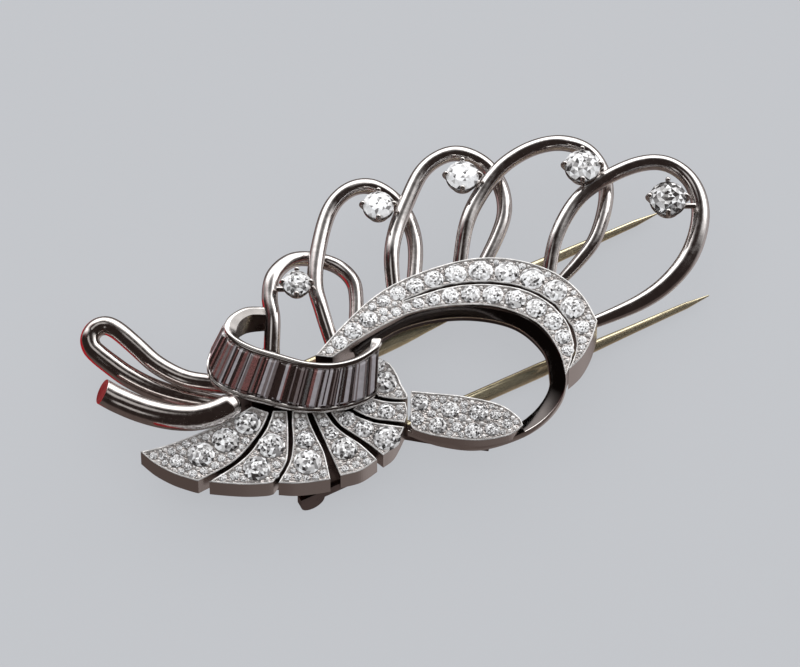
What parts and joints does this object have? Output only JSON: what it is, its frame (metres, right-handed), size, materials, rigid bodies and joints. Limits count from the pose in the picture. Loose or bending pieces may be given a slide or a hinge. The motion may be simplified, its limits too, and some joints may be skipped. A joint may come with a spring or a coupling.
{
  "type": "double-prong clip brooch",
  "caption": "Spray brooch of wire loops, a pavé ribbon, a baguette tie and a petal fan, fastened by a sprung fork of prongs hinged on its back.",
  "frame": {"origin": "centre of the bounding box, on the plane the brooch lies on when laid on its clip", "axes": "+X along the brooch's length towards the largest loop and the prongs' points, +Y across it towards the loops, +Z out of the jewelled face"},
  "size_m": [0.0627, 0.0396, 0.0094],
  "materials": {
    "loop_wire": "polished platinum",
    "setting": "polished white gold",
    "brilliant": "cut diamond",
    "pave_stone": "cut diamond",
    "baguette": "step-cut diamond",
    "pave_plate": "polished platinum with a bright-cut rim",
    "polished_band": "mirror-polished platinum",
    "tie_metal": "polished platinum",
    "tail_wire": "polished platinum",
    "prong_gold": "polished yellow gold",
    "back_metal": "satin white gold"
  },
  "bodies": {
    "ornament": {"wire_loop_1": "loop_wire", "wire_loop_2": "loop_wire", "wire_loop_3": "loop_wire", "wire_loop_4": "loop_wire", "wire_loop_5": "loop_wire", "claw_setting_1": "setting", "claw_setting_2": "setting", "claw_setting_3": "setting", "claw_setting_4": "setting", "claw_setting_5": "setting", "solitaire_1": "brilliant", "solitaire_2": "brilliant", "solitaire_3": "brilliant", "solitaire_4": "brilliant", "solitaire_5": "brilliant", "outer_ribbon": "pave_plate", "outer_ribbon_stones": "pave_stone", "inner_ribbon": "pave_plate", "inner_ribbon_stones": "pave_stone", "ring_band": "polished_band", "leaf_plate": "pave_plate", "leaf_stones": "pave_stone", "tie_band": "tie_metal", "tie_baguettes": "baguette", "fan_petal_1": "pave_plate", "fan_petal_2": "pave_plate", "fan_petal_3": "pave_plate", "fan_petal_4": "pave_plate", "fan_petal_5": "pave_plate", "fan_petal_6": "pave_plate", "fan_petal_7": "pave_plate", "fan_stones_1": "pave_stone", "fan_stones_2": "pave_stone", "fan_stones_3": "pave_stone", "fan_stones_4": "pave_stone", "fan_stones_5": "pave_stone", "fan_stones_6": "pave_stone", "fan_stones_7": "pave_stone", "hairpin_tail": "tail_wire", "cut_tube": "tail_wire", "knot_core": "back_metal", "back_plate": "back_metal", "ring_strut": "back_metal", "hinge_box": "back_metal", "hinge_pin": "back_metal", "leaf_spring": "back_metal"},
    "clip_fork": {"fork_bar": "prong_gold", "prong_upper": "prong_gold", "prong_lower": "prong_gold"}
  },
  "joints": [
    {"name": "clip_hinge", "type": "hinge", "parent": "ornament", "child": "clip_fork", "pos_m": [-0.0122, -0.01155, 0.0013], "axis": [-0.4602, 0.8878, 0], "range_deg": [0, 60], "stiffness_Nm_per_rad": 0.01, "springref_deg": -11.46}
  ]
}
